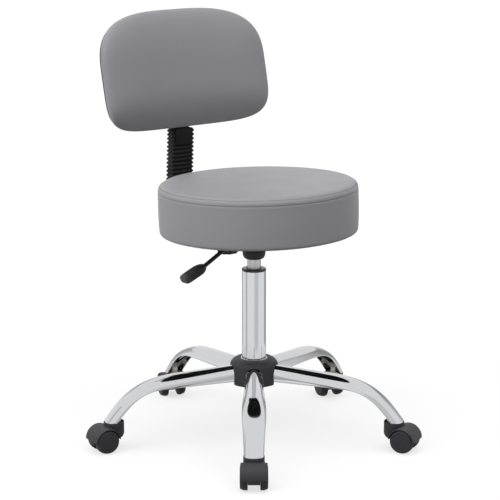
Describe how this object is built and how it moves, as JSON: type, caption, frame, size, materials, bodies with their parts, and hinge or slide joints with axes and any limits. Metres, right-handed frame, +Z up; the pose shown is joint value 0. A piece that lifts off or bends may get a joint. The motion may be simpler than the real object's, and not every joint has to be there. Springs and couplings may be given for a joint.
{
  "type": "medical stool with backrest",
  "caption": "Round upholstered medical stool with a padded, adjustable backrest on a bellows-covered bar, a gas lift with a hand lever, and a chromed star base on hooded casters",
  "frame": {"origin": "on the floor, under the middle of the stool's box", "axes": "+Z up, the sitter faces -Y, the height lever is on the -X side"},
  "size_m": [0.662, 0.6582, 0.8585],
  "materials": {
    "chrome": "polished",
    "steel": "satin",
    "black_steel": "satin",
    "dark_plastic": "satin",
    "black_plastic": "matte",
    "bellows_rubber": "matte",
    "vinyl": "satin",
    "plywood": "matte",
    "dust_cloth": "matte"
  },
  "bodies": {
    "base": {"hub_core": "chrome", "hub_cover": "dark_plastic", "leg_1": "chrome", "leg_2": "chrome", "leg_3": "chrome", "leg_4": "chrome", "leg_5": "chrome", "stem_socket_1": "steel", "stem_socket_2": "steel", "stem_socket_3": "steel", "stem_socket_4": "steel", "stem_socket_5": "steel", "column_tube": "chrome", "guide_bush": "black_plastic", "thrust_bearing": "steel"},
    "gas_rod": {"piston_rod": "steel", "rod_clip": "steel"},
    "seat": {"pressure_tube": "steel", "taper_socket": "black_steel", "seat_plate": "black_steel", "seat_board": "plywood", "seat_cushion": "vinyl", "dust_cover": "dust_cloth", "bar_clamp": "black_steel"},
    "valve": {"valve_button": "steel"},
    "lever": {"lever_rod": "black_steel", "lever_paddle": "black_plastic"},
    "back_slide": {"back_bar": "black_steel", "bellows": "bellows_rubber"},
    "depth_clamp": {"depth_knob": "black_plastic"},
    "back": {"back_board": "plywood", "back_bracket": "black_steel", "back_shell": "black_plastic", "back_cushion": "vinyl"},
    "height_clamp": {"height_knob": "black_plastic"},
    "caster_1": {"caster_hood_1": "dark_plastic", "caster_stem_1": "steel", "caster_axle_1": "steel"},
    "wheel_1_left": {"wheel_1_left": "dark_plastic"},
    "wheel_1_right": {"wheel_1_right": "dark_plastic"},
    "caster_2": {"caster_hood_2": "dark_plastic", "caster_stem_2": "steel", "caster_axle_2": "steel"},
    "wheel_2_left": {"wheel_2_left": "dark_plastic"},
    "wheel_2_right": {"wheel_2_right": "dark_plastic"},
    "caster_3": {"caster_hood_3": "dark_plastic", "caster_stem_3": "steel", "caster_axle_3": "steel"},
    "wheel_3_left": {"wheel_3_left": "dark_plastic"},
    "wheel_3_right": {"wheel_3_right": "dark_plastic"},
    "caster_4": {"caster_hood_4": "dark_plastic", "caster_stem_4": "steel", "caster_axle_4": "steel"},
    "wheel_4_left": {"wheel_4_left": "dark_plastic"},
    "wheel_4_right": {"wheel_4_right": "dark_plastic"},
    "caster_5": {"caster_hood_5": "dark_plastic", "caster_stem_5": "steel", "caster_axle_5": "steel"},
    "wheel_5_left": {"wheel_5_left": "dark_plastic"},
    "wheel_5_right": {"wheel_5_right": "dark_plastic"}
  },
  "joints": [
    {"name": "seat_swivel", "type": "hinge", "parent": "base", "child": "gas_rod", "pos_m": [0.00796, -0.02807, 0.107], "axis": [0, 0, 1], "continuous": true},
    {"name": "seat_height", "type": "slide", "parent": "gas_rod", "child": "seat", "axis": [0, 0, 1], "range_m": [0, 0.12]},
    {"name": "lever_lift", "type": "hinge", "parent": "seat", "child": "lever", "pos_m": [-0.03404, -0.02848, 0.42201], "axis": [0, 0.9994, -0.0349], "range_deg": [0, 6], "stiffness_Nm_per_rad": 2, "springref_deg": -2.86},
    {"name": "valve_press", "type": "slide", "parent": "seat", "child": "valve", "axis": [0, 0, 1], "range_m": [-0.005, 0]},
    {"name": "back_depth", "type": "slide", "parent": "seat", "child": "back_slide", "axis": [0, 0.9994, -0.0349], "range_m": [-0.03, 0.03]},
    {"name": "depth_knob_turn", "type": "hinge", "parent": "seat", "child": "depth_clamp", "pos_m": [0.00796, 0.06588, 0.43072], "axis": [0, 0.0349, 0.9994], "range_deg": [0, 360]},
    {"name": "back_height", "type": "slide", "parent": "back_slide", "child": "back", "axis": [0, 0.2317, 0.9728], "range_m": [-0.02, 0.05], "deforming": ["bellows"]},
    {"name": "height_knob_turn", "type": "hinge", "parent": "back", "child": "height_clamp", "pos_m": [0.00796, 0.25176, 0.67251], "axis": [0, -0.9728, 0.2317], "range_deg": [0, 360]},
    {"name": "caster_1_swivel", "type": "hinge", "parent": "base", "child": "caster_1", "pos_m": [-0.1672, -0.26915, 0], "axis": [0, 0, 1], "continuous": true},
    {"name": "wheel_1_left_spin", "type": "hinge", "parent": "caster_1", "child": "wheel_1_left", "pos_m": [-0.16553, -0.30003, 0.025], "axis": [0.809, -0.5878, 0], "continuous": true},
    {"name": "wheel_1_right_spin", "type": "hinge", "parent": "caster_1", "child": "wheel_1_right", "pos_m": [-0.19708, -0.27711, 0.025], "axis": [0.809, -0.5878, 0], "continuous": true},
    {"name": "caster_2_swivel", "type": "hinge", "parent": "base", "child": "caster_2", "pos_m": [0.18312, -0.26915, 0], "axis": [0, 0, 1], "continuous": true},
    {"name": "wheel_2_left_spin", "type": "hinge", "parent": "caster_2", "child": "wheel_2_left", "pos_m": [0.21161, -0.28119, 0.025], "axis": [0.8829, 0.4695, 0], "continuous": true},
    {"name": "wheel_2_right_spin", "type": "hinge", "parent": "caster_2", "child": "wheel_2_right", "pos_m": [0.17717, -0.2995, 0.025], "axis": [0.8829, 0.4695, 0], "continuous": true},
    {"name": "caster_3_swivel", "type": "hinge", "parent": "base", "child": "caster_3", "pos_m": [0.29138, 0.06402, 0], "axis": [0, 0, 1], "continuous": true},
    {"name": "wheel_3_left_spin", "type": "hinge", "parent": "caster_3", "child": "wheel_3_left", "pos_m": [0.27826, 0.09203, 0.025], "axis": [-0.9703, 0.2419, 0], "continuous": true},
    {"name": "wheel_3_right_spin", "type": "hinge", "parent": "caster_3", "child": "wheel_3_right", "pos_m": [0.3161, 0.08259, 0.025], "axis": [-0.9703, 0.2419, 0], "continuous": true},
    {"name": "caster_4_swivel", "type": "hinge", "parent": "base", "child": "caster_4", "pos_m": [0.00796, 0.26993, 0], "axis": [0, 0, 1], "continuous": true},
    {"name": "wheel_4_left_spin", "type": "hinge", "parent": "caster_4", "child": "wheel_4_left", "pos_m": [-0.00317, 0.29879, 0.025], "axis": [-0.9511, 0.309, 0], "continuous": true},
    {"name": "wheel_4_right_spin", "type": "hinge", "parent": "caster_4", "child": "wheel_4_right", "pos_m": [0.03392, 0.28673, 0.025], "axis": [-0.9511, 0.309, 0], "continuous": true},
    {"name": "caster_5_swivel", "type": "hinge", "parent": "base", "child": "caster_5", "pos_m": [-0.27545, 0.06402, 0], "axis": [0, 0, 1], "continuous": true},
    {"name": "wheel_5_left_spin", "type": "hinge", "parent": "caster_5", "child": "wheel_5_left", "pos_m": [-0.30106, 0.04669, 0.025], "axis": [-0.0872, -0.9962, 0], "continuous": true},
    {"name": "wheel_5_right_spin", "type": "hinge", "parent": "caster_5", "child": "wheel_5_right", "pos_m": [-0.29766, 0.08554, 0.025], "axis": [-0.0872, -0.9962, 0], "continuous": true}
  ],
  "couplings": [
    {"joint": "valve_press", "follows": "lever_lift", "m_per_rad": -0.045}
  ]
}
